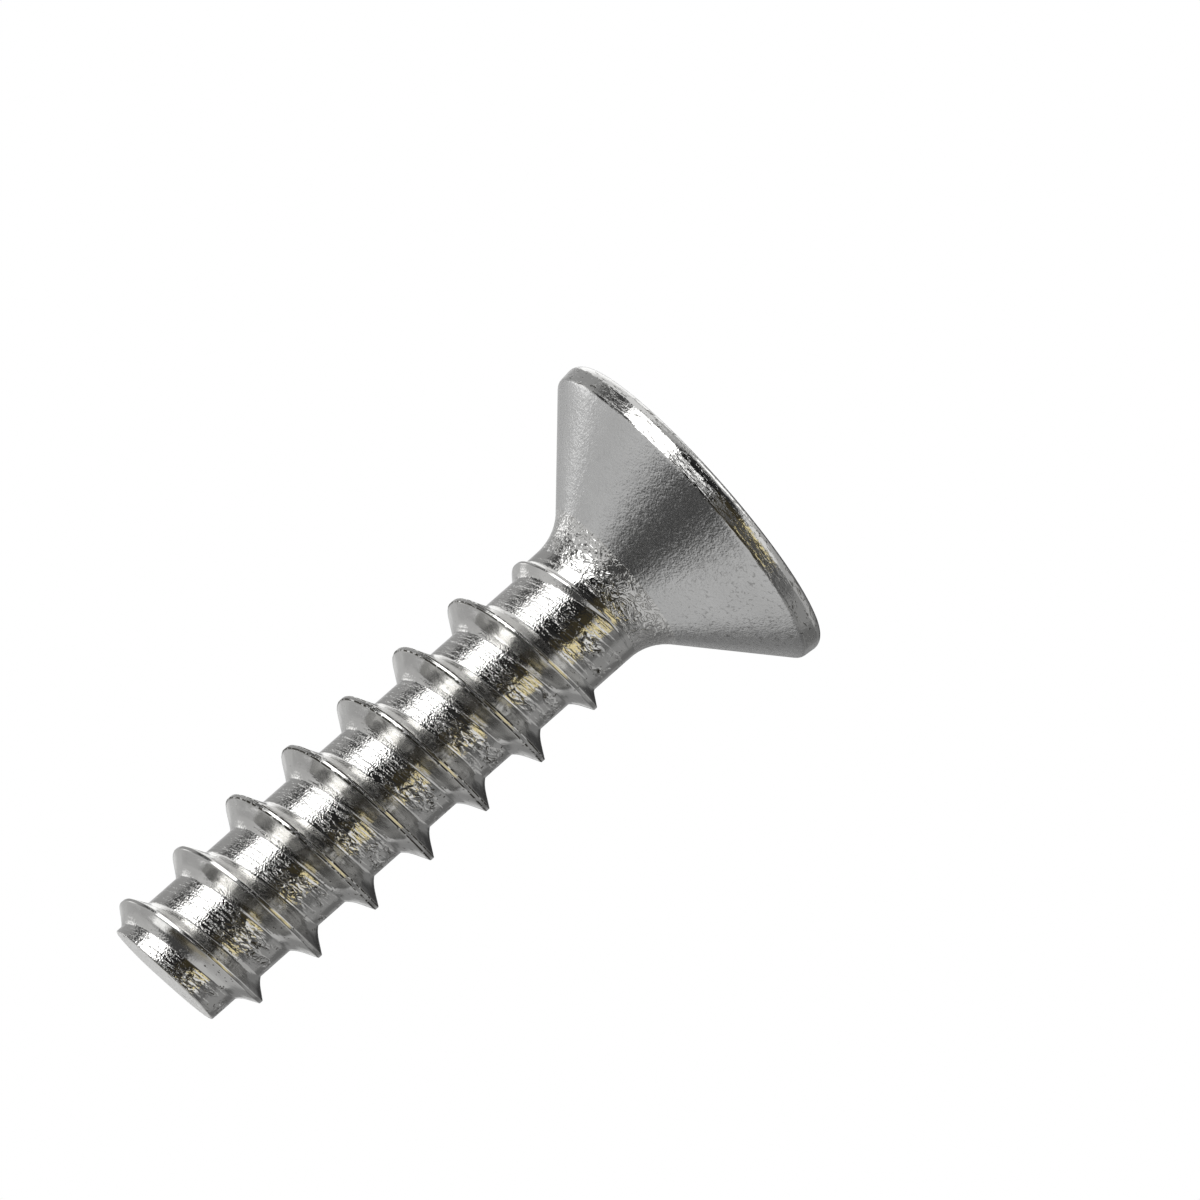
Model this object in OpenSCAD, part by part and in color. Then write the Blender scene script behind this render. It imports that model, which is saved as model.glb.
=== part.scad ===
// Countersunk screw with a cross recess, a coarse thread up to the neck and a blunt end.
// The screw lies on the Z axis: the flat of the head is z = 0 and the shank points down.
// It is cold headed and thread rolled from one wire, so it is one solid.

/* [Size] */
// Overall length, from the flat of the head to the end
overall_l = 16; // [12:0.5:60]

/* [Head] */
// Diameter over the rim of the head
head_d = 8.18; // [6.6:0.02:12]
// Included angle of the countersunk cone, in degrees
head_angle = 94.5; // [80:0.5:110]
// Height of the plain band between the cone and the flat
rim_h = 0.54; // [0.28:0.01:0.8]
// Radius of the rounded edge between the band and the flat
rim_round = 0.22; // [0.05:0.01:0.26]
// Radius of the fillet between the cone and the neck
neck_fillet = 1.3; // [0.3:0.05:2]

/* [Shank] */
// Diameter of the plain neck under the head
neck_d = 3.1; // [2.9:0.02:3.6]
// Height of the plain neck between the fillet and the thread
neck_h = 0.1; // [0.05:0.05:5]
// Height of the taper from the neck down to the core
neck_taper_h = 0.25; // [0.1:0.05:1]
// Core diameter, between the turns of the thread
core_d = 2.82; // [2.2:0.02:2.86]
// Slant of the sheared end, in degrees
end_slant = 6.5; // [0:0.5:12]
// Side on which the sheared end is shortest, in degrees about the axis
end_slant_side = 20; // [0:5:355]

/* [Thread] */
// Diameter over the crests
thread_d = 3.96; // [3.2:0.02:5]
// Rise of the thread in one turn
pitch = 1.64; // [1.2:0.01:2.4]
// Width of the crest
crest_w = 0.1; // [0.04:0.01:0.3]
// Included angle between the flanks, in degrees
flank_angle = 52; // [36:1:70]
// Width of the fillet at each foot of the thread
foot_fillet = 0.12; // [0.05:0.01:0.2]
// Turns from the first trace of the thread to its blunt start
start_turns = 0.3; // [0.1:0.05:1]
// Share of the full height at the blunt start
start_share = 0.72; // [0.3:0.01:1]
// Turns from the blunt start to the full height
grow_turns = 2; // [0.5:0.1:3]
// Turns over which the thread runs out under the head
run_out_turns = 1.9; // [0.5:0.1:3]
// Where the thread starts, in degrees about the axis
start_side = 70; // [0:5:355]
// Height of the first trace of the thread above the end
start_h = 0.06; // [0:0.05:2]

/* [Cross recess] */
// Diameter over the tips of the wings, at the flat
recess_d = 4.6; // [3.6:0.05:5.2]
// Depth to the point at the bottom
recess_depth = 2.6; // [1.8:0.05:2.8]
// Width of a wing at its tip
wing_w = 0.86; // [0.5:0.01:1.2]
// Width that the sides of a wing reach when drawn on to the axis
wing_root_w = 1.18; // [0.7:0.01:1.6]
// Radius of the rounded corner between two wings
corner_round = 1.05; // [0.3:0.05:1.2]
// Height of the upright wall at the tip of a wing
wing_wall_h = 0.35; // [0.1:0.05:0.8]
// Slope of the tip of a wing below that wall, in degrees off the axis
wing_slope = 26.5; // [15:0.5:32]
// Height of the pyramid at the bottom
point_h = 0.4; // [0.1:0.05:0.8]
// Share of their width that the wings keep down to the pyramid
wing_draft = 0.78; // [0.5:0.01:1]
// Turn of the wings about the axis, in degrees
wing_turn = 45; // [0:5:90]
// Width of the ring that the punch presses around the recess
punch_ring_w = 0.13; // [0.05:0.01:0.3]
// Depth of that ring
punch_ring_h = 0.04; // [0.02:0.01:0.1]

/* [Quality] */
// Flat steps in one turn of the thread
turn_steps = 30; // [16:2:48]

/* [Hidden] */
$fn = 96;

head_r = head_d / 2;
neck_r = neck_d / 2;
core_r = core_d / 2;
half_angle = head_angle / 2;
slack = 1;

// Where the cone meets the band, and where the fillet leaves the cone and the neck
cone_foot_h = neck_fillet * tan(half_angle / 2);
cone_h = (head_r - neck_r) / tan(half_angle);
cone_corner_z = -rim_h - cone_h;
fillet_low_z = cone_corner_z - cone_foot_h;
fillet_high_z = fillet_low_z + neck_fillet * sin(half_angle);
neck_low_z = fillet_low_z - neck_h;
core_top_z = neck_low_z - neck_taper_h;

// The thread runs out in the fillet
crest_h = (thread_d - core_d) / 2;
foot_w = crest_w + 2 * crest_h * tan(flank_angle / 2);
sink = 0.14;
start_z = -overall_l + start_h;
turns = (fillet_high_z - start_z) / pitch;
last_step = floor(turns * turn_steps);

arc_steps = 8;

function smooth(x) = (1 - cos(180 * min(1, max(0, x)))) / 2;

// Height of the thread over the core after t turns
function growth(t) = start_share * smooth(t / start_turns)
    + (1 - start_share) * smooth((t - start_turns) / grow_turns);
function ridge_h(t) = crest_h * max(0.01, growth(t) * smooth((turns - t) / run_out_turns));

// One slice of the thread as [radius, height] pairs, from its upper foot to its lower foot
function ridge_slice(t) =
    let (
        h = ridge_h(t),
        share = h / crest_h,
        foot = foot_w / 2 * (0.4 + 0.6 * share),
        crest = min(crest_w / 2, foot / 2),
        toe = foot + foot_fillet
    )
    [
        [core_r - sink, toe + sink],
        [core_r + 0.22 * h, foot - 0.12 * (foot - crest)],
        [core_r + h, crest],
        [core_r + h, -crest],
        [core_r + 0.22 * h, -foot + 0.12 * (foot - crest)],
        [core_r - sink, -toe - sink]
    ];

function ridge_ring(step) =
    let (t = step / turn_steps, side = start_side + 360 * t)
    [for (p = ridge_slice(t)) [p.x * cos(side), p.x * sin(side), start_z + pitch * t + p.y]];

// Skin over a row of rings with n points each, and a flat cap at both ends
function skin(rings, n) = concat(
    [[for (k = [0:n - 1]) k]],
    [for (r = [0:rings - 2], k = [0:n - 1])
        let (a = r * n + k, b = r * n + (k + 1) % n)
        each [[a, a + n, b], [b, a + n, b + n]]],
    [[for (k = [0:n - 1]) (rings - 1) * n + n - 1 - k]]
);

module thread() {
    n = len(ridge_slice(0));
    polyhedron(
        points = [for (step = [0:last_step]) each ridge_ring(step)],
        faces = skin(last_step + 1, n),
        convexity = 10
    );
}

// Head, neck and core, turned from one outline
module turned_body() {
    fillet_c = [neck_r + neck_fillet, fillet_low_z];
    fillet = [for (i = [0:arc_steps])
        let (a = 180 - half_angle * i / arc_steps)
        fillet_c + neck_fillet * [cos(a), sin(a)]];
    edge_c = [head_r - rim_round, -rim_round];
    edge = [for (i = [0:arc_steps])
        let (a = 90 * i / arc_steps)
        edge_c + rim_round * [cos(a), sin(a)]];
    rotate_extrude()
        polygon(concat(
            [
                [0, -overall_l - slack],
                [core_r, -overall_l - slack],
                [core_r, core_top_z],
                [neck_r, neck_low_z]
            ],
            fillet,
            [[head_r, -rim_h]],
            edge,
            [[0, 0]]
        ));
}

// Half width of a wing at its tip and on the axis, and the outline of the cross, for one level
function cross_outline(tip_r, share) =
    let (
        tip_w = share * wing_w / 2,
        root_w = share * wing_root_w / 2,
        lean = atan((root_w - tip_w) / tip_r),
        corner = root_w / (1 + tan(lean)),
        corner_half = 45 + lean,
        reach = (tip_r - corner) / cos(lean),
        r = min(share * corner_round, 0.8 * reach * tan(corner_half)),
        centre = corner * sqrt(2) + r / sin(corner_half),
        sweep = 90 - corner_half
    )
    [for (wing = [0:3])
        let (side = wing_turn + 90 * wing)
        each concat(
            [
                turn2([tip_r, -tip_w], side),
                turn2([tip_r, tip_w], side)
            ],
            [for (i = [0:4])
                let (a = 225 + sweep - 2 * sweep * i / 4)
                turn2(centre * [cos(45), sin(45)] + r * [cos(a), sin(a)], side)]
        )];

function turn2(p, side) = [p.x * cos(side) - p.y * sin(side), p.x * sin(side) + p.y * cos(side)];

module cross_recess() {
    floor_z = point_h - recess_depth;
    tip_r = recess_d / 2;
    low_tip_r = tip_r - (-floor_z - wing_wall_h) * tan(wing_slope);
    levels = [
        [floor_z, low_tip_r, wing_draft],
        [-wing_wall_h, tip_r, 1],
        [slack, tip_r, 1]
    ];
    n = len(cross_outline(tip_r, 1));
    rings = len(levels);
    points = concat(
        [for (level = levels, p = cross_outline(level[1], level[2])) [p.x, p.y, level[0]]],
        [[0, 0, -recess_depth]]
    );
    sides = [for (r = [0:rings - 2], k = [0:n - 1])
        let (a = r * n + k, b = r * n + (k + 1) % n)
        each [[a, a + n, b], [b, a + n, b + n]]];
    point = [for (k = [0:n - 1]) [rings * n, k, (k + 1) % n]];
    lid = [[for (k = [0:n - 1]) (rings - 1) * n + n - 1 - k]];
    polyhedron(points = points, faces = concat(point, sides, lid), convexity = 6);
    translate([0, 0, -punch_ring_h])
        cylinder(r = tip_r + punch_ring_w, h = slack);
}

// Everything below the slanted shear plane
module below_end() {
    block = 2 * thread_d;
    rise = core_r * tan(end_slant);
    translate([0, 0, -overall_l + rise])
        rotate([0, -end_slant, end_slant_side])
            translate([-block, -block, -block])
                cube([2 * block, 2 * block, block]);
}

module screw() {
    color("silver")
        difference() {
            union() {
                turned_body();
                thread();
            }
            cross_recess();
            below_end();
        }
}

screw();
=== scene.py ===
"""A countersunk screw with a cross recess and a coarse rolled thread, in bright plating.

The screw hangs head up on the Z axis: its flat is at z = 0 and its blunt end points down.
Sizes are in metres, in the CAD frame.
"""

import math

import bmesh
import bpy
from mathutils import Matrix, Vector, noise


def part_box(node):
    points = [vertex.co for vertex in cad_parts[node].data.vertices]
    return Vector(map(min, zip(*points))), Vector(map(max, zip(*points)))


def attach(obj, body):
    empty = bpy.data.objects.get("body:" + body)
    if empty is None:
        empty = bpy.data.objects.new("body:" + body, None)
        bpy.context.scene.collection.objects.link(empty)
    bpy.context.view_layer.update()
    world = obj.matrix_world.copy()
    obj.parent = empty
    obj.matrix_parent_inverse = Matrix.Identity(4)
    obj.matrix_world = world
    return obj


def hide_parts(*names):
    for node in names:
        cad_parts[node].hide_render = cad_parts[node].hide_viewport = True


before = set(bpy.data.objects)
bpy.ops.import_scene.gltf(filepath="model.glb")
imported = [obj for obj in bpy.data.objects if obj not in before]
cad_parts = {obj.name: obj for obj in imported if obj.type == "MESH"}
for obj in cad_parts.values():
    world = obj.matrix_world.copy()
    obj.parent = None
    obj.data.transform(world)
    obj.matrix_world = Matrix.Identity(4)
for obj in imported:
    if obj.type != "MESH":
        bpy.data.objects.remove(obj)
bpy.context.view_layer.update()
low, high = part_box("screw")

MM = 0.001

# Overall sizes, from the CAD model's box
head_r = (high.x - low.x) / 2
head_z = high.z
end_z = low.z

# Head: corner_soft rounds the corner between cone and rim band, whose foot leans in by band_lean
half_angle = math.radians(94.5 / 2)
rim_h = 0.54 * MM
rim_round = 0.22 * MM
corner_soft = 0.18 * MM
band_lean = 0.024 * MM
neck_fillet = 1.3 * MM

# Shank
neck_r = 1.55 * MM
core_r = 1.41 * MM
end_slant = math.radians(6.5)
end_slant_side = math.radians(20)
end_round = 0.035 * MM

# Outline of the full thread: half widths of crest and foot, and slopes of the flank and its toe
pitch = 1.64 * MM
crest_h = 0.57 * MM
crest_half = 0.05 * MM
root_half = 0.433 * MM
flank_slope = 1.82
toe_slope = 0.9
toe_round = 0.08 * MM
crest_round = 0.02 * MM
foot_round = 0.012 * MM

# Start, growth and run-out of the thread, in turns, and where the core widens to the neck
start_side = math.radians(70)
start_z = end_z + 0.06 * MM
start_turns = 0.3
start_share = 0.72
grow_turns = 2
run_out_turns = 1.9
shoulder_start = 6.3
shoulder_turns = 0.5
steps_per_turn = 112
turns_swept = 10

# Cross recess
recess_r = 2.3 * MM
recess_depth = 2.6 * MM
wing_w = 0.86 * MM
wing_root_w = 1.18 * MM
corner_round = 1.05 * MM
tip_round = 0.07 * MM
wing_wall_h = 0.35 * MM
wing_slope = math.radians(26.5)
point_h = 0.4 * MM
wing_draft = 0.78
wing_turn = math.radians(45)
lip_round = 0.085 * MM

# Depth of the shallow dish that the punch presses into the face round the recess
punch_h = 0.035 * MM

# Points nearer than this count as touching
touching = 0.001 * MM

# Where the cone starts, above the fillet
cone_h = (head_r - neck_r) / math.tan(half_angle)
fillet_low_z = head_z - rim_h - cone_h - neck_fillet * math.tan(half_angle / 2)
cone_low_z = fillet_low_z + neck_fillet * math.sin(half_angle)
cone_low_r = neck_r + neck_fillet * (1 - math.cos(half_angle))
all_turns = (cone_low_z - start_z) / pitch


# ---------------------------------------------------------------- helpers for shaping


def deselect_all():
    if bpy.context.mode != "OBJECT":
        bpy.ops.object.mode_set(mode="OBJECT")
    bpy.ops.object.select_all(action="DESELECT")


def smooth(x):
    """A soft step from 0 at x = 0 to 1 at x = 1."""
    return (1 - math.cos(math.pi * min(1, max(0, x)))) / 2


def soft_max(a, b, width):
    """The larger of a and b, with the corner between them rounded over that width."""
    h = max(width - abs(a - b), 0) / width
    return max(a, b) + h * h * width / 4


def soft_min(a, b, width):
    return -soft_max(-a, -b, width)


def wobble(x, y, z):
    """Smooth noise between about -1 and 1; y and z pick one row of it."""
    return noise.noise(Vector((x, y, z)))


def line(first, last, steps):
    """Points in equal steps on the way from first to last, which is the only end included."""
    rise = (last[0] - first[0], last[1] - first[1])
    shares = [i / steps for i in range(1, steps + 1)]
    return [(first[0] + rise[0] * share, first[1] + rise[1] * share) for share in shares]


def arc(centre, r, first, last, steps):
    """Points on an arc, from one angle to another, with both ends."""
    angles = [first + (last - first) * i / steps for i in range(steps + 1)]
    return [(centre[0] + r * math.cos(a), centre[1] + r * math.sin(a)) for a in angles]


def select_ring(obj, place, normal):
    """Selects the open edges of obj that lie in a plane."""
    bpy.ops.mesh.select_all(action="DESELECT")
    mesh = bmesh.from_edit_mesh(obj.data)
    for edge in mesh.edges:
        near = all(abs((v.co - place).dot(normal)) < touching for v in edge.verts)
        edge.select_set(edge.is_boundary and near)
    bmesh.update_edit_mesh(obj.data)


def cut_open(obj, place, normal):
    """Cuts obj at a plane, takes away what lies behind it, and selects the open ring."""
    bpy.ops.object.mode_set(mode="EDIT")
    bpy.ops.mesh.select_mode(type="EDGE")
    bpy.ops.mesh.select_all(action="SELECT")
    bpy.ops.mesh.bisect(plane_co=place, plane_no=normal, clear_inner=True,
                        threshold=touching / 10)
    select_ring(obj, place, normal)
    bpy.ops.mesh.remove_doubles(threshold=8 * touching)
    select_ring(obj, place, normal)


def apply_modifier(obj, kind, **settings):
    modifier = obj.modifiers.new(kind.title(), kind)
    for name, value in settings.items():
        setattr(modifier, name, value)
    bpy.context.view_layer.objects.active = obj
    bpy.ops.object.modifier_apply(modifier=modifier.name)


# ---------------------------------------------------------------- the thread and the shank


def ridge_profile(v):
    """Height of the full thread over the core at the distance v along the axis from its crest."""
    flank = crest_h - flank_slope * (abs(v) - crest_half)
    toe = toe_slope * (root_half - abs(v))
    side = soft_max(flank, toe, toe_round)
    return soft_max(soft_min(side, crest_h, crest_round), 0, foot_round)


def ridge_share(t):
    """Share of its full height that the thread has after t turns."""
    if t <= 0:
        return 0
    start = start_share * smooth(t / start_turns)
    growth = (1 - start_share) * smooth((t - start_turns) / grow_turns)
    return (start + growth) * smooth((all_turns - t) / run_out_turns)


def groove_floor(t):
    """Radius of the groove above the ridge after t turns: core, then neck on the last turn."""
    return core_r + (neck_r - core_r) * smooth((t - shoulder_start) / shoulder_turns)


def fillet_radius(z):
    """Radius at the height z of the fillet between neck and cone, and of the cone above it."""
    if z > cone_low_z:
        return cone_low_r + (z - cone_low_z) * math.tan(half_angle)
    return neck_r + neck_fillet - math.sqrt(neck_fillet**2 - (z - fillet_low_z) ** 2)


def shank_point(co):
    """Moves a point of the plain helical sweep to where the finished shank has it."""
    angle = math.atan2(co.y, co.x)
    turned = (angle - start_side) / (2 * math.pi)
    passed = (co.z - start_z) / pitch - turned
    ridge = round(passed)
    v = (passed - ridge) * pitch
    t = turned + ridge
    share = ridge_share(t)

    # A lower ridge is also narrower, and the groove beside it wider
    narrowest = 0.4
    narrow = narrowest + (1 - narrowest) * share
    if abs(v) < root_half:
        new_v = v * narrow
    else:
        beyond = (abs(v) - root_half) / (pitch / 2 - root_half)
        new_v = root_half * narrow + beyond * (pitch / 2 - root_half * narrow)
        new_v = math.copysign(new_v, v)
    z = co.z + new_v - v

    # Nicks and a slight waviness along the crest, where the rolled metal met
    crest_reach = 0.12 * MM
    nick_limit = 0.52
    nearness = math.exp(-((v / crest_reach) ** 2))
    slow_wave = 0.007 * MM * wobble(t * 41, 3.1, 7.7)
    fast_wave = 0.006 * MM * wobble(t * 97, 11.3, 0.4)
    nick = 0.03 * MM * max(0, wobble(t * 23, 31.7, 5.2) - nick_limit)
    ridge_r = core_r + share * (ridge_profile(v) + nearness * (slow_wave + fast_wave - nick))

    # The groove's floor on this side of the ridge, with shallow rolling waves
    changeover = 0.2 * MM
    side = smooth(v / changeover + 0.5)
    floor_r = groove_floor(t) * side + groove_floor(t - 1) * (1 - side)
    rolling_wave = 0.0022 * MM * wobble(t * 7, v / MM * 6, 2.2)
    floor_r += rolling_wave
    if z > fillet_low_z:
        floor_r = max(floor_r, fillet_radius(z))
    r = soft_max(floor_r, ridge_r, crest_round)
    return Vector((r * math.cos(angle), r * math.sin(angle), z))


def roll_shank():
    """One pitch of the thread's outline, swept round the axis, then shaped turn by turn."""
    # Distances from the crest in millimetres, closest where the outline bends
    half_profile = [0.022, 0.038, 0.05, 0.062, 0.085, 0.125, 0.17, 0.215, 0.26, 0.305, 0.35, 0.395,
                    0.42, 0.436, 0.455, 0.5, 0.58, 0.66, 0.74]
    stations = [v * MM for v in half_profile]
    profile = [-pitch / 2] + [-v for v in reversed(stations)] + [0] + stations + [pitch / 2]

    first_turn = -1 - start_side / (2 * math.pi)
    crest_z = start_z + pitch * first_turn
    deselect_all()
    bpy.ops.mesh.primitive_plane_add(size=MM)
    shank = bpy.context.object
    shank.name = "screw_body"
    bpy.ops.object.mode_set(mode="EDIT")
    bpy.ops.mesh.merge(type="CENTER")
    first_r = core_r + ridge_profile(profile[0])
    bpy.ops.transform.translate(value=(first_r, 0, crest_z + profile[0]))
    for below, above in zip(profile, profile[1:]):
        step = (ridge_profile(above) - ridge_profile(below), 0, above - below)
        bpy.ops.mesh.extrude_region_move(TRANSFORM_OT_translate={"value": step})
    bpy.ops.object.mode_set(mode="OBJECT")
    apply_modifier(shank, "SCREW", axis="Z", angle=2 * math.pi, screw_offset=pitch,
                   iterations=turns_swept, steps=steps_per_turn, render_steps=steps_per_turn,
                   use_smooth_shade=True, use_normal_flip=True)

    bpy.ops.object.mode_set(mode="EDIT")
    bpy.ops.mesh.select_all(action="SELECT")
    bpy.ops.mesh.remove_doubles(threshold=touching)
    bpy.ops.object.mode_set(mode="OBJECT")
    for vertex in shank.data.vertices:
        vertex.co = shank_point(vertex.co)
    return shank


# ---------------------------------------------------------------- the sheared end


def shear_end(screw):
    """Cuts the wire off on a slant, and closes it with a flat face and a slightly rounded edge."""
    centre = Vector((0, 0, end_z + core_r * math.tan(end_slant)))
    slant = Matrix.Rotation(end_slant_side, 3, "Z") @ Matrix.Rotation(-end_slant, 3, "Y")
    upward = slant @ Vector((0, 0, 1))
    cut_open(screw, centre + upward * end_round, upward)

    # Rings as (share of the rounding to drop, size against the ring before)
    rounded_edge = [(0.4, 0.997), (0.35, 0.99), (0.25, 0.98)]
    flat_face = [(0, size) for size in (0.94, 0.88, 0.8, 0.7, 0.55, 0.3)]
    for drop, size in rounded_edge + flat_face:
        move = -upward * drop * end_round
        bpy.ops.mesh.extrude_region_move(TRANSFORM_OT_translate={"value": move})
        bpy.ops.transform.resize(value=(size, size, size), center_override=centre)
    bpy.ops.mesh.edge_face_add()
    bpy.ops.object.mode_set(mode="OBJECT")


# ---------------------------------------------------------------- the head


def head_outline():
    """The head from the end of the fillet to the dished face, as (radius, z) pairs."""
    corner_foot = corner_soft * math.tan(half_angle / 2)
    band_low = (head_r - band_lean, head_z - rim_h + corner_foot)
    band_high = (head_r, head_z - rim_round)
    cone_high = (band_low[0] - corner_foot * math.sin(half_angle),
                 head_z - rim_h - corner_foot * math.cos(half_angle))
    corner_centre = (band_low[0] - corner_soft, band_low[1])
    edge_centre = (head_r - rim_round, band_high[1])
    rings = line((cone_low_r, cone_low_z), cone_high, steps=10)
    rings += arc(corner_centre, corner_soft, -half_angle, 0, steps=5)[1:]
    rings += line(band_low, band_high, steps=3)
    rings += arc(edge_centre, rim_round, 0, math.pi / 2, steps=7)[1:]

    # Rings in millimetres: the flat by radius, then the dish as (radius, share of its depth)
    flat = (3.8, 3.4, 3.0, 2.7, 2.52)
    pressed = ((2.455, 0.1), (2.43, 0.45), (2.4, 0.85), (2.36, 1), (2.25, 1.05), (2.05, 0.9),
               (1.8, 0.75), (1.55, 0.75), (1.3, 0.9), (1.1, 1))
    rings += [(r * MM, head_z) for r in flat]
    rings += [(r * MM, head_z - drop * punch_h) for r, drop in pressed]
    return rings


def upset_head(screw):
    """Cuts the shank level at the cone and draws the head up from that ring."""
    cut_open(screw, Vector((0, 0, cone_low_z)), Vector((0, 0, -1)))
    mesh = bmesh.from_edit_mesh(screw.data)
    for vertex in [v for v in mesh.verts if v.select]:
        vertex.co.xy = vertex.co.xy.normalized() * cone_low_r
    bmesh.update_edit_mesh(screw.data)
    r, z = cone_low_r, cone_low_z
    for next_r, next_z in head_outline():
        growth = next_r / r
        bpy.ops.mesh.extrude_region_move(TRANSFORM_OT_translate={"value": (0, 0, next_z - z)})
        bpy.ops.transform.resize(value=(growth, growth, 1), center_override=(0, 0, next_z))
        r, z = next_r, next_z
    bpy.ops.mesh.edge_face_add()
    bpy.ops.mesh.select_all(action="SELECT")
    bpy.ops.mesh.normals_make_consistent(inside=False)
    bpy.ops.object.mode_set(mode="OBJECT")


# ---------------------------------------------------------------- the cross recess


def cross_outline(tip_r, share, grow=0):
    """The outline of the cross at one level, with its widths at that share and grown outward."""
    tip_w = share * wing_w / 2 + grow
    root_w = share * wing_root_w / 2 + grow
    tip_r = tip_r + grow

    # The rounded corner between two wings touches the sides of both
    lean = math.atan((root_w - tip_w) / tip_r)
    corner = root_w / (1 + math.tan(lean))
    corner_half = math.pi / 4 + lean
    reach = (tip_r - corner) / math.cos(lean)
    widest_corner = 0.8 * reach * math.tan(corner_half)
    r = min(share * corner_round - grow, widest_corner)
    centre = corner * math.sqrt(2) + r / math.sin(corner_half)
    sweep = math.pi / 2 - corner_half
    corner_xy = centre * math.sqrt(0.5)

    widest_tip = 0.6 * tip_w
    tip = min(tip_round + grow, widest_tip)
    quarter = math.pi / 2
    facing_in = math.radians(225)
    points = []
    for wing in range(4):
        turn = Matrix.Rotation(wing_turn + quarter * wing, 2)
        outline = arc((tip_r - tip, -tip_w + tip), tip, -quarter, 0, steps=3)
        outline += arc((tip_r - tip, tip_w - tip), tip, 0, quarter, steps=3)
        outline += arc((corner_xy, corner_xy), r, facing_in + sweep, facing_in - sweep, steps=8)
        points += [turn @ Vector(p) for p in outline]
    return points


def punch_recess(screw):
    """The driver recess: a cross-shaped punch, drawn level by level, is cut out of the head."""
    floor_z = head_z + point_h - recess_depth
    wall_z = head_z - wing_wall_h
    low_tip_r = recess_r - (wall_z - floor_z) * math.tan(wing_slope)
    mouth_drop = 0.8 * punch_h
    mouth_z = head_z - mouth_drop
    levels = [(floor_z, cross_outline(low_tip_r, wing_draft))]
    levels.append((wall_z, cross_outline(recess_r, 1)))
    lip_steps = 5
    for i in range(lip_steps + 1):
        a = math.pi / 2 * i / lip_steps
        grow = lip_round * (1 - math.cos(a))
        levels.append((mouth_z - lip_round * (1 - math.sin(a)), cross_outline(recess_r, 1, grow)))

    # The punch goes on above the face, a little wider than the lip
    top_grow = 1.3 * lip_round
    levels.append((head_z + lip_round, cross_outline(recess_r, 1, top_grow)))

    deselect_all()
    bpy.ops.mesh.primitive_circle_add(vertices=len(levels[0][1]), radius=recess_r, fill_type="NGON")
    punch = bpy.context.object
    below = [v.co.xy for v in punch.data.vertices]
    for i, (z, outline) in enumerate(levels):
        bpy.ops.object.mode_set(mode="EDIT")
        if i:
            bpy.ops.mesh.extrude_region_move(TRANSFORM_OT_translate={"value": (0, 0, MM)})
        bpy.ops.object.mode_set(mode="OBJECT")
        for vertex in [v for v in punch.data.vertices if v.select]:
            which = min(range(len(below)), key=lambda k: (below[k] - vertex.co.xy).length)
            vertex.co = (outline[which].x, outline[which].y, z)
        below = outline

    # The bottom comes to a blunt pyramid
    bpy.ops.object.mode_set(mode="EDIT")
    bpy.ops.mesh.select_mode(type="FACE")
    bpy.ops.mesh.select_all(action="DESELECT")
    mesh = bmesh.from_edit_mesh(punch.data)
    for face in mesh.faces:
        face.select_set(all(abs(v.co.z - floor_z) < touching for v in face.verts))
    bmesh.update_edit_mesh(punch.data)
    bpy.ops.mesh.poke(offset=0)
    mesh = bmesh.from_edit_mesh(punch.data)
    for vertex in mesh.verts:
        if vertex.co.xy.length < touching:
            vertex.co.z = head_z - recess_depth
    bmesh.update_edit_mesh(punch.data)
    bpy.ops.mesh.select_all(action="SELECT")
    bpy.ops.mesh.normals_make_consistent(inside=False)
    bpy.ops.object.mode_set(mode="OBJECT")
    apply_modifier(screw, "BOOLEAN", operation="DIFFERENCE", object=punch, solver="EXACT")
    bpy.data.objects.remove(punch)


# ---------------------------------------------------------------- material helpers


def put(tree, kind, values=(), **settings):
    """A new node; values go to its inputs by name or number, a socket as a link."""
    node = tree.nodes.new(kind)
    for name, value in settings.items():
        setattr(node, name, value)
    for key, value in dict(values).items():
        if isinstance(value, bpy.types.NodeSocket):
            tree.links.new(value, node.inputs[key])
        else:
            node.inputs[key].default_value = value
    return node


def sums(tree, operation, *values):
    """The result of a sum on numbers and sockets."""
    return put(tree, "ShaderNodeMath", enumerate(values), operation=operation).outputs[0]


def times(tree, a, b):
    return sums(tree, "MULTIPLY", a, b)


def minus(tree, a, b):
    return sums(tree, "SUBTRACT", a, b)


def apart(tree, a, b):
    """How far apart two values are."""
    return sums(tree, "ABSOLUTE", minus(tree, a, b))


def scaled(tree, value, factor, offset):
    return sums(tree, "MULTIPLY_ADD", value, factor, offset)


def step_between(tree, value, start, end, low_out=0.0, high_out=1.0):
    """A soft step of value, from low_out at start to high_out at end."""
    return put(tree, "ShaderNodeMapRange", {0: value, 1: start, 2: end, 3: low_out, 4: high_out},
               interpolation_type="SMOOTHSTEP").outputs[0]


def place_in_mm(tree):
    """The place on the screw, in millimetres."""
    place = put(tree, "ShaderNodeTexCoord").outputs["Object"]
    return put(tree, "ShaderNodeVectorMath", {0: place, 3: 1 / MM}, operation="SCALE").outputs[0]


def grain(tree, place, per_mm, detail=2.0, roughness=0.5, distortion=0.0):
    """Cloudy noise with features of about 1 / per_mm."""
    return put(tree, "ShaderNodeTexNoise", {
        "Vector": place, "Scale": per_mm, "Detail": detail, "Roughness": roughness,
        "Distortion": distortion}).outputs[0]


def stretched(tree, place, x, y, z):
    """The place with each axis drawn out by a factor."""
    return put(tree, "ShaderNodeMapping", {0: place, 3: (x, y, z)}).outputs[0]


def rough_between(tree, clouds, least, most):
    """Roughness that follows a grain, from least to most."""
    return step_between(tree, clouds, 0.3, 0.7, least, most)


def blend(tree, share, a, b):
    """Colour a where share is 0, colour b where it is 1."""
    return put(tree, "ShaderNodeMix", {0: share, 6: a, 7: b}, data_type="RGBA").outputs[2]


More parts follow.
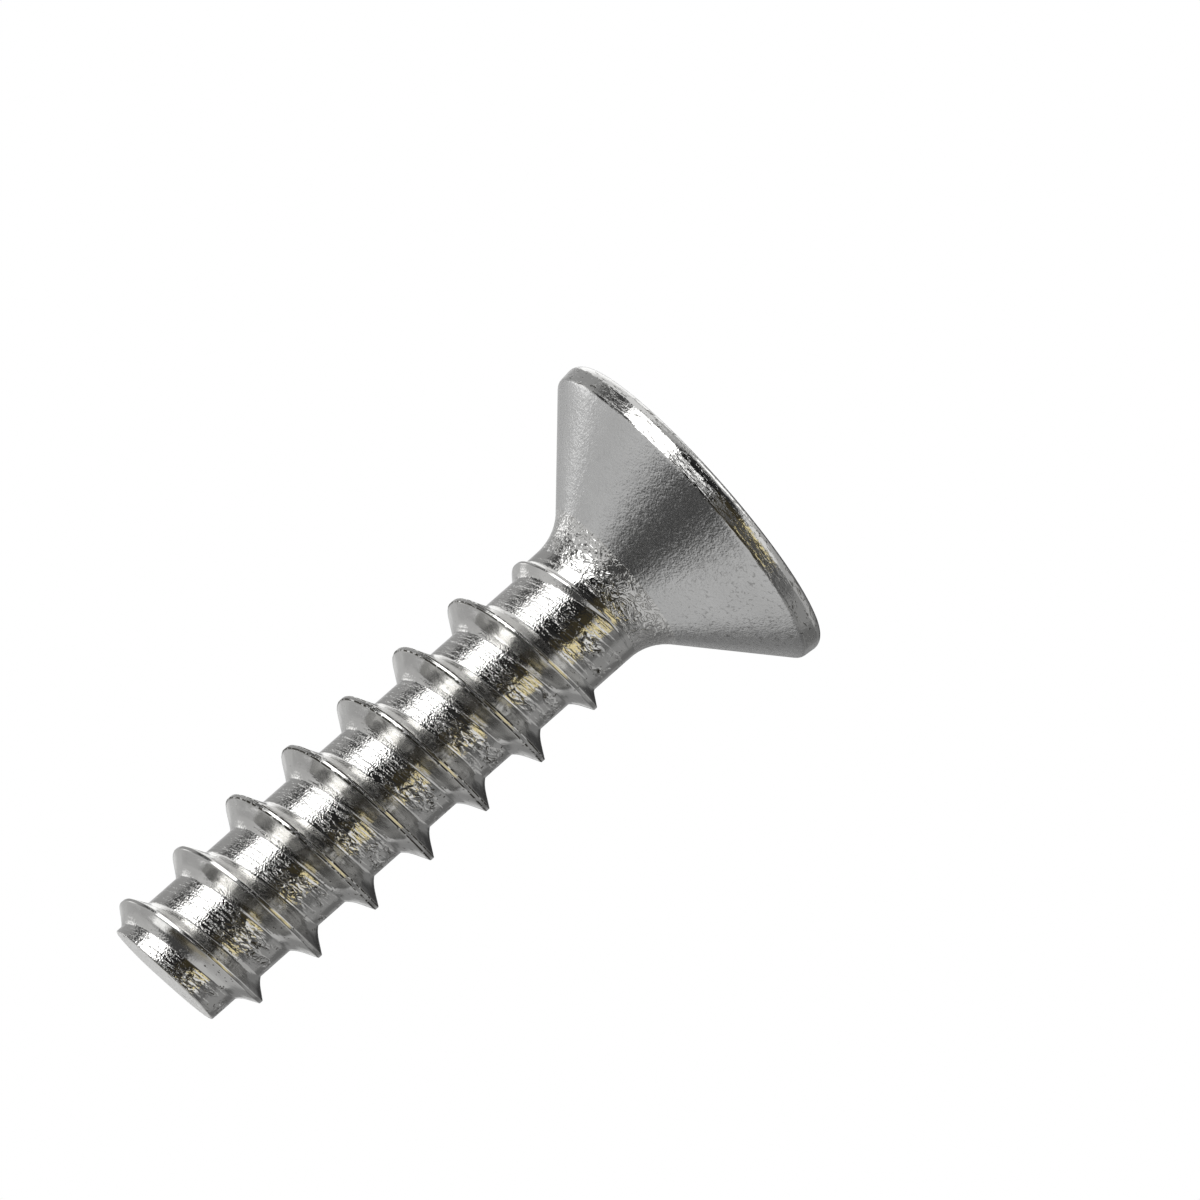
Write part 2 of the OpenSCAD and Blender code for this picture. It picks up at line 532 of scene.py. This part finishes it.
def relief(tree, layers):
    """The normal after layers of (height socket, depth in mm), the coarsest first."""
    normal = None
    for height, depth in layers:
        values = {"Height": height, "Distance": depth * MM, "Strength": 1.0}
        if normal is not None:
            values["Normal"] = normal
        normal = put(tree, "ShaderNodeBump", values).outputs[0]
    return normal


def plating(name):
    """A new plated metal: its material, node tree, shader, and the place on the screw in mm."""
    material = bpy.data.materials.new(name)
    material.use_nodes = True
    tree = material.node_tree
    shader = tree.nodes["Principled BSDF"]
    shader.inputs["Metallic"].default_value = 1.0
    return material, tree, shader, place_in_mm(tree)


def finish_plating(tree, shader, colour, roughness, normal):
    """Joins the looks to the shader."""
    tree.links.new(colour, shader.inputs["Base Color"])
    tree.links.new(roughness, shader.inputs["Roughness"])
    tree.links.new(normal, shader.inputs["Normal"])


def grey(level):
    return (level, level, level, 1)


# ---------------------------------------------------------------- the materials

BRIGHT = (0.72, 0.715, 0.70, 1)
DRAWN = (0.62, 0.615, 0.60, 1)
# Painted shade in the fillet's creases
CREASE_SHADE = (0.45, 0.445, 0.43, 1)
MATT_DARK = (0.60, 0.60, 0.595, 1)
MATT_PALE = (0.74, 0.74, 0.735, 1)
# Painted shade: the cone's dark pores
PORE_SHADE = (0.16, 0.155, 0.15, 1)
BAND = (0.58, 0.58, 0.57, 1)
STRUCK = (0.70, 0.70, 0.695, 1)
STRUCK_PALE = (0.86, 0.86, 0.855, 1)
GRIT = (0.2, 0.2, 0.195, 1)
# Painted shade and painted warm reflection inside the recess
BROWN_SHADE_DARK = (0.22, 0.19, 0.12, 1)
BROWN_SHADE_PALE = (0.50, 0.45, 0.33, 1)
LIP = (0.85, 0.85, 0.84, 1)
SHEARED = (0.60, 0.60, 0.59, 1)
SHEARED_PALE = (0.78, 0.78, 0.77, 1)
# Painted shade: near black, painted into cracks, pits, crest edges and torn marks
PAINTED_SHADE = (0.05, 0.045, 0.035, 1)


def along_thread(tree, place):
    """Turns along the thread, place across one pitch (crests at 0 and 1), and turns round the axis."""
    parts = put(tree, "ShaderNodeSeparateXYZ", {0: place}).outputs
    angle = sums(tree, "DIVIDE", sums(tree, "ARCTAN2", parts[1], parts[0]), 2 * math.pi)
    rise = sums(tree, "DIVIDE", minus(tree, parts[2], start_z / MM), pitch / MM)
    passed = minus(tree, rise, minus(tree, angle, start_side / (2 * math.pi)))
    across = sums(tree, "FRACT", passed)
    turns = minus(tree, rise, across)
    return turns, across, angle


def thread_plating():
    """Rolled metal: fine grain, lines drawn along the groove, and a torn strip down its middle."""
    material, tree, shader, place = plating("rolled_thread_plating")
    turns, across, angle = along_thread(tree, place)
    flat_place = put(tree, "ShaderNodeVectorMath", {0: place, 1: (1, 1, 0)},
                     operation="MULTIPLY").outputs[0]
    radius = put(tree, "ShaderNodeVectorMath", {0: flat_place}, operation="LENGTH").outputs["Value"]
    floor_mm = core_r / MM
    crest_mm = (core_r + crest_h) / MM
    flank = step_between(tree, radius, floor_mm + 0.05, floor_mm + 0.2)
    crest = step_between(tree, radius, crest_mm - 0.05, crest_mm - 0.01)

    def wound(along, over, offset):
        """A place with that many units to a turn along the thread and to a pitch across it."""
        return put(tree, "ShaderNodeCombineXYZ", {
            0: times(tree, turns, along), 1: times(tree, across, over), 2: offset}).outputs[0]

    def streaks(along, over, offset, detail=1):
        """Noise drawn out along the thread; the offset picks one pattern of it."""
        return grain(tree, wound(along, over, offset), per_mm=1.0, detail=detail)

    fine_lines = streaks(along=14, over=24, offset=0.0)
    broad_lines = streaks(along=3, over=9, offset=4.0)
    speckle = grain(tree, place, per_mm=21, detail=1)
    waves = grain(tree, place, per_mm=2.6, detail=1)

    # The torn strip shows on the side where the dies let go
    let_go = sums(tree, "COSINE", scaled(tree, angle, 2 * math.pi, 0.75))
    side = step_between(tree, let_go, 0.45, 0.8)
    off_middle = apart(tree, across, 0.5)
    strip = times(tree, step_between(tree, off_middle, 0.24, 0.12), side)
    patches = streaks(along=9, over=3.2, offset=21.0, detail=2)
    strip = times(tree, strip, step_between(tree, patches, 0.44, 0.54))

    # Scales of torn metal with cracks between them, and pits; the cracks and pits are painted dark as
    # shade
    uneven = streaks(along=30, over=12, offset=30.0, detail=2)
    bend = scaled(tree, uneven, 2.2, -1.1)
    scale_place = put(tree, "ShaderNodeCombineXYZ", {
        0: sums(tree, "ADD", times(tree, turns, 50), bend),
        1: sums(tree, "ADD", times(tree, across, 18), bend)}).outputs[0]
    cells = {"Vector": scale_place, "Scale": 1.0}
    scales = put(tree, "ShaderNodeTexVoronoi", cells).outputs["Distance"]
    gap = put(tree, "ShaderNodeTexVoronoi", cells, feature="DISTANCE_TO_EDGE").outputs["Distance"]
    cracks = times(tree, step_between(tree, gap, 0.10, 0.03), strip)
    open_cracks = streaks(along=26, over=9, offset=14.0)
    cracks = times(tree, cracks, step_between(tree, open_cracks, 0.46, 0.54))
    pits = step_between(tree, grain(tree, place, per_mm=9, detail=2, roughness=0.6), 0.66, 0.70)
    pits = times(tree, pits, scaled(tree, side, 0.7, 0.2))

    # Painted shade: the crest has a dark, ragged line painted along each edge
    off_crest = minus(tree, 0.5, off_middle)
    crest_line = step_between(tree, apart(tree, off_crest, 0.032), 0.018, 0.010)
    ragged = step_between(tree, grain(tree, place, per_mm=7, detail=3, roughness=0.6), 0.40, 0.48)
    crest_edge_shade = times(tree, crest, times(tree, crest_line, ragged))
    marks = sums(tree, "MAXIMUM", sums(tree, "MAXIMUM", cracks, pits), crest_edge_shade)

    # The grain is strongest in the groove, and fades under the torn strip and on the flanks
    colour = blend(tree, waves, DRAWN, BRIGHT)
    # Painted shade: cracks, pits and the crest's edge lines are painted near black
    colour = blend(tree, marks, colour, PAINTED_SHADE)
    rough = sums(tree, "ADD", 0.05, times(tree, flank, 0.10))
    rough = sums(tree, "ADD", rough, times(tree, marks, 0.3))
    groove = minus(tree, 1.0, times(tree, flank, 0.85))
    specks = times(tree, groove, scaled(tree, side, -0.7, 1.0))
    normal = relief(tree, [
        (waves, 0.012), (times(tree, strip, scales), 0.02), (broad_lines, 0.008),
        (minus(tree, 1.0, marks), 0.008), (times(tree, groove, fine_lines), 0.009),
        (times(tree, specks, speckle), 0.009)])
    finish_plating(tree, shader, colour, rough, normal)
    return material


def fillet_plating():
    """Metal that creased under the head as it was upset: crinkled lines round the neck, painted darker
    as shade along the creases.
    """
    material, tree, shader, place = plating("creased_neck_plating")
    squeezed = stretched(tree, place, 1, 1, 1.5)
    crinkle = grain(tree, squeezed, per_mm=3.8, detail=1, distortion=1.6)
    creases = step_between(tree, apart(tree, crinkle, 0.5), 0.0, 0.035)
    speckle = grain(tree, place, per_mm=15, detail=1)
    # Painted shade: the crease lines are painted darker
    colour = blend(tree, creases, CREASE_SHADE, BRIGHT)
    rough = rough_between(tree, speckle, 0.06, 0.12)
    normal = relief(tree, [(crinkle, 0.04), (creases, 0.004), (speckle, 0.008)])
    finish_plating(tree, shader, colour, rough, normal)
    return material


def cone_plating():
    """The pressed cone: a matt skin of small dimples, with dark pores painted as shade, more of them
    towards +X so that side is painted darker.
    """
    material, tree, shader, place = plating("pressed_cone_plating")
    dimples = grain(tree, place, per_mm=6.5)
    skin = grain(tree, place, per_mm=20, detail=1)
    clouds = grain(tree, place, per_mm=0.9)
    parts = put(tree, "ShaderNodeSeparateXYZ", {0: place}).outputs
    # Painted shade: more dark pores towards +X, so that side of the cone is darker
    shade_side = step_between(tree, parts[0], 0.2, 2.6)
    specks = grain(tree, place, per_mm=9, detail=3, roughness=0.6, distortion=0.8)
    pores = step_between(tree, specks, 0.57, 0.64)
    pores = times(tree, pores, scaled(tree, shade_side, 0.42, 0.10))
    colour = blend(tree, clouds, MATT_DARK, MATT_PALE)
    colour = blend(tree, pores, colour, PORE_SHADE)
    rough = rough_between(tree, skin, 0.20, 0.28)
    normal = relief(tree, [(dimples, 0.009), (skin, 0.0065)])
    finish_plating(tree, shader, colour, rough, normal)
    return material


def rim_plating():
    """The band round the head: bright, with torn scratches that run round it, their tears painted dark
    as shade.
    """
    material, tree, shader, place = plating("rim_band_plating")
    drawn_out = stretched(tree, place, 1, 1, 5)
    scratches = grain(tree, drawn_out, per_mm=2.2, distortion=0.6)
    speckle = grain(tree, place, per_mm=15, detail=1)
    tears = grain(tree, drawn_out, per_mm=3.4, detail=3, roughness=0.6, distortion=0.8)
    torn = step_between(tree, tears, 0.58, 0.63)
    colour = blend(tree, scratches, BAND, BRIGHT)
    # Painted shade: the tears are painted near black
    colour = blend(tree, times(tree, torn, 0.7), colour, PAINTED_SHADE)
    rough = rough_between(tree, speckle, 0.07, 0.14)
    normal = relief(tree, [(scratches, 0.006), (torn, 0.004), (speckle, 0.004)])
    finish_plating(tree, shader, colour, rough, normal)
    return material


def face_plating():
    """The struck face: a granular, sparkling skin."""
    material, tree, shader, place = plating("struck_face_plating")
    grit = grain(tree, place, per_mm=8, roughness=0.6)
    dust = grain(tree, place, per_mm=20, detail=1)
    clouds = grain(tree, place, per_mm=0.8, detail=3)
    dark = step_between(tree, grit, 0.56, 0.66)
    colour = blend(tree, clouds, STRUCK, STRUCK_PALE)
    colour = blend(tree, times(tree, dark, 0.45), colour, GRIT)
    rough = rough_between(tree, dust, 0.18, 0.32)
    normal = relief(tree, [(grit, 0.026), (dust, 0.009)])
    finish_plating(tree, shader, colour, rough, normal)
    return material


def recess_plating():
    """Inside the recess the walls are pale at the lip and a mottled brown deeper in: painted shade and
    painted warm reflection.
    """
    material, tree, shader, place = plating("recess_plating")
    mottling = grain(tree, place, per_mm=1.6, detail=4, roughness=0.6, distortion=0.5)
    speckle = grain(tree, place, per_mm=14, detail=3, roughness=0.6)
    parts = put(tree, "ShaderNodeSeparateXYZ", {0: place}).outputs
    # Painted shade: from the pale lip the walls turn a mottled brown deeper in
    depth = step_between(tree, parts[2], -0.04, -0.22)
    brown = blend(tree, mottling, BROWN_SHADE_DARK, BROWN_SHADE_PALE)
    colour = blend(tree, depth, LIP, brown)
    rough = rough_between(tree, speckle, 0.18, 0.32)
    normal = relief(tree, [(mottling, 0.03), (speckle, 0.006)])
    finish_plating(tree, shader, colour, rough, normal)
    return material


def end_plating():
    """The sheared end: pale, finely torn across, with a few pits painted dark as shade."""
    material, tree, shader, place = plating("sheared_end_plating")
    dragged = stretched(tree, place, 2.4, 0.5, 1)
    tears = grain(tree, dragged, per_mm=6, detail=4, roughness=0.6)
    skin = grain(tree, place, per_mm=20, detail=3, roughness=0.6)
    pits = step_between(tree, grain(tree, place, per_mm=3.4, detail=3, roughness=0.6), 0.66, 0.72)
    colour = blend(tree, tears, SHEARED, SHEARED_PALE)
    # Painted shade: the pits are painted near black
    colour = blend(tree, pits, colour, PAINTED_SHADE)
    rough = rough_between(tree, skin, 0.26, 0.4)
    normal = relief(tree, [(minus(tree, 1.0, pits), 0.02), (tears, 0.012), (skin, 0.005)])
    finish_plating(tree, shader, colour, rough, normal)
    return material


# The finishes in the order of the screw's material slots
FINISHES = [thread_plating, fillet_plating, cone_plating, rim_plating, face_plating, end_plating,
            recess_plating]
THREAD, FILLET, CONE, RIM, FACE, END, RECESS = range(len(FINISHES))


def region_of(centre, normal):
    """Which finish a face of the screw has, from its place."""
    r = centre.xy.length
    cone_r = cone_low_r + (centre.z - cone_low_z) * math.tan(half_angle)
    end_high_z = end_z + 2 * core_r * math.tan(end_slant) + end_round
    fillet_paint_z = fillet_low_z + 0.12 * MM
    recess_paint_r = min(cone_r - 0.4 * MM, recess_r * 1.06)
    faces_down = normal.z < -0.85
    faces_up = normal.z > 0.9
    face_low_z = head_z - 1.3 * punch_h
    if centre.z < end_high_z and faces_down:
        return END
    if centre.z < fillet_paint_z:
        return THREAD
    if centre.z < cone_low_z:
        return FILLET
    if centre.z > face_low_z and faces_up:
        return FACE
    if r < recess_paint_r:
        return RECESS
    if centre.z < head_z - rim_h:
        return CONE
    return RIM


def dress(screw):
    """Gives each face its finish, and smooths all but the real edges."""
    for make_finish in FINISHES:
        screw.data.materials.append(make_finish())
    for polygon in screw.data.polygons:
        polygon.material_index = region_of(polygon.center, polygon.normal)
    deselect_all()
    screw.select_set(True)
    bpy.context.view_layer.objects.active = screw
    sharpest_smooth = math.radians(35)
    bpy.ops.object.shade_smooth_by_angle(angle=sharpest_smooth)


# ---------------------------------------------------------------- the studio


def colour_bands(tree, value, bands):
    """Light along a value from 0 to 1. Each band is (start, end, light), blending in between."""
    ramp = put(tree, "ShaderNodeValToRGB", {0: value})
    stops = ramp.color_ramp.elements
    while len(stops) > 1:
        stops.remove(stops[0])
    for i, (start, end, light) in enumerate(bands):
        colour = light if isinstance(light, tuple) else grey(light)
        if i == 0:
            stops[0].position = start
            stops[0].color = colour
        else:
            stops.new(start).color = colour
        stops.new(end).color = colour
    return ramp.outputs[0]


# Lights: a number is a grey, and 1 is as bright as white paper
WHITE = 3.4
BLACK = 0.015
OLIVE = (0.05, 0.042, 0.024, 1)
GOLD = (1.0, 0.87, 0.5, 1)
BRONZE = (0.35, 0.315, 0.23, 1)

# Cards round the screw, by bearing in degrees: 0 is the front, positive bearings are to the right
LEFT_SIDE = [(-180, -165, 0.6), (-158, -116, 0.38), (-100, -80, 0.07), (-66, -37, WHITE),
             (-33, 2, BLACK)]
RIGHT_SIDE = [(74, 82, 0.18), (92, 118, 0.32), (128, 146, 0.17), (158, 180, 0.3)]
GOLD_LEVEL = LEFT_SIDE + [(7, 26, OLIVE), (28, 56, GOLD), (63, 72, 0.24)] + RIGHT_SIDE
OFF_LEVEL = LEFT_SIDE + [(7, 52, OLIVE), (58, 70, 0.1)] + RIGHT_SIDE
RIM_LEVEL = [(-180, -175, 0.85), (-168, -104, 0.42), (-90, -80, 0.9), (-74, -38, WHITE),
             (-30, -8, 1.6), (2, 9, 0.25), (16, 92, 0.12), (104, 164, 0.24), (174, 180, 0.85)]
LOW_RING = [(-180, -173, 1.0), (-166, -146, 0.55), (-140, -132, 1.5), (-110, -98, 0.05),
            (-94, -71, 0.12), (-67, -37, WHITE), (-34, 4, BLACK), (8, 52, OLIVE), (60, 80, 0.12),
            (92, 118, 0.3), (128, 146, 0.16), (156, 166, 0.28), (174, 180, 1.0)]
HIGH_RING = [(-180, -174, 0.1), (-171, -145, 1.3), (-130, -72, 0.9), (-62, -44, 0.5),
             (-33, 22, 0.03), (34, 60, 0.95), (70, 130, 0.5), (142, 158, 0.22), (170, 180, 0.04)]

# Cards below the screw, in front and behind, from the left at 0 to the right at 1
FRONT_BELOW = [(0.0, 0.30, 0.64), (0.38, 0.42, 0.07), (0.55, 0.58, 0.07), (0.68, 1.0, 0.62)]
BACK_BELOW = [(0.0, 0.30, 0.55), (0.335, 0.35, 0.42), (0.385, 0.42, 1.5), (0.452, 0.52, OLIVE),
              (0.56, 0.61, BRONZE), (0.65, 0.72, 0.5), (0.78, 1.0, 0.58)]


def light_tent():
    """The light all round the screw: softboxes, dark cards and one gold card, by direction."""
    world = bpy.data.worlds.new("light_tent")
    bpy.context.scene.world = world
    world.use_nodes = True
    tree = world.node_tree
    tree.nodes.clear()
    towards = put(tree, "ShaderNodeTexCoord").outputs["Generated"]
    x, y, z = put(tree, "ShaderNodeSeparateXYZ", {0: towards}).outputs
    bearing = sums(tree, "ARCTAN2", x, times(tree, y, -1.0))
    round_share = scaled(tree, bearing, 1 / (2 * math.pi), 0.5)
    across_share = scaled(tree, x, 0.5, 0.5)

    def ring(cards):
        shares = [((start + 180) / 360, (end + 180) / 360, light) for start, end, light in cards]
        return colour_bands(tree, round_share, shares)

    below = blend(tree, step_between(tree, y, 0.15, 0.4),
                  colour_bands(tree, across_share, FRONT_BELOW),
                  colour_bands(tree, across_share, BACK_BELOW))

    # Narrow rings near the level of the screw, by height z: the sine of the elevation
    rim_share = step_between(tree, apart(tree, z, -0.06), 0.06, 0.04)
    gold_share = step_between(tree, apart(tree, z, 0.13), 0.08, 0.05)
    light = blend(tree, rim_share, ring(OFF_LEVEL), ring(RIM_LEVEL))
    light = blend(tree, gold_share, light, ring(GOLD_LEVEL))

    # Wide rings above and below them, each fading in between two heights
    for start, end, other in (
            (0.21, 0.25, ring(HIGH_RING)), (0.80, 0.90, grey(0.5)), (0.96, 0.985, grey(1.7)),
            (-0.12, -0.16, ring(LOW_RING)), (-0.44, -0.56, below)):
        light = blend(tree, step_between(tree, z, start, end), light, other)

    # Seen straight on, the tent is white paper
    seen = put(tree, "ShaderNodeLightPath").outputs["Is Camera Ray"]
    tent = put(tree, "ShaderNodeBackground", {0: light, 1: 1.0}).outputs[0]
    paper = put(tree, "ShaderNodeBackground", {0: grey(1.0), 1: 1.0}).outputs[0]
    mixed = put(tree, "ShaderNodeMixShader", {0: seen, 1: tent, 2: paper}).outputs[0]
    tree.links.new(mixed, put(tree, "ShaderNodeOutputWorld").inputs[0])


def lay_floor():
    """A plain pale floor below the screw."""
    deselect_all()
    gap_below = 46 * MM
    floor_w = 6000 * MM
    bpy.ops.mesh.primitive_plane_add(size=floor_w, location=(0, 0, end_z - gap_below))
    floor = bpy.context.object
    floor.name = "floor"
    material = bpy.data.materials.new("pale_paper")
    material.use_nodes = True
    tree = material.node_tree
    shader = tree.nodes["Principled BSDF"]
    fibres = grain(tree, place_in_mm(tree), per_mm=0.4, detail=3)
    tree.links.new(blend(tree, fibres, grey(0.86), grey(0.9)), shader.inputs["Base Color"])
    shader.inputs["Roughness"].default_value = 0.8
    shader.inputs["Emission Color"].default_value = grey(1.0)
    shader.inputs["Emission Strength"].default_value = 0.8
    floor.data.materials.append(material)
    floor.visible_glossy = False


def hang_softbox():
    """One large soft light overhead."""
    hang_h = 320 * MM
    light = bpy.data.lights.new("overhead_softbox", "AREA")
    light.shape = "DISK"
    light.size = 260 * MM
    light.energy = 0.6
    softbox = bpy.data.objects.new("overhead_softbox", light)
    softbox.location = (0, 0, hang_h)
    softbox.visible_glossy = False
    bpy.context.scene.collection.objects.link(softbox)


def set_camera():
    """A long lens a little below the middle of the screw, rolled so that the screw slants."""
    middle = Vector((0, 0, (head_z + end_z) / 2))
    below = math.radians(7.8)
    distance = 240 * MM
    roll = math.atan2(0.750, 0.662)
    aim_right = 3.73 * MM
    aim_up = 3.09 * MM
    ahead = Vector((0, math.cos(below), math.sin(below)))
    right = Vector((1, 0, 0))
    up = right.cross(ahead)
    camera_right = up * math.sin(roll) + right * math.cos(roll)
    camera_up = up * math.cos(roll) - right * math.sin(roll)
    aim = middle + camera_right * aim_right + camera_up * aim_up
    place = middle - ahead * distance
    back = (place - aim).normalized()
    camera_right = camera_up.cross(back).normalized()
    camera_up = back.cross(camera_right)
    data = bpy.data.cameras.new("camera")
    data.sensor_width = 36
    data.lens = 327.6
    data.clip_start = 10 * MM
    data.clip_end = 10
    camera = bpy.data.objects.new("camera", data)
    turn = Matrix((camera_right, camera_up, back)).transposed().to_4x4()
    camera.matrix_world = Matrix.Translation(place) @ turn
    bpy.context.scene.collection.objects.link(camera)
    bpy.context.scene.camera = camera


# ---------------------------------------------------------------- the scene

screw = roll_shank()
shear_end(screw)
upset_head(screw)
punch_recess(screw)
dress(screw)
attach(screw, "root")
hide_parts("screw")

light_tent()
lay_floor()
hang_softbox()
set_camera()
bpy.context.scene.view_settings.view_transform = "Standard"
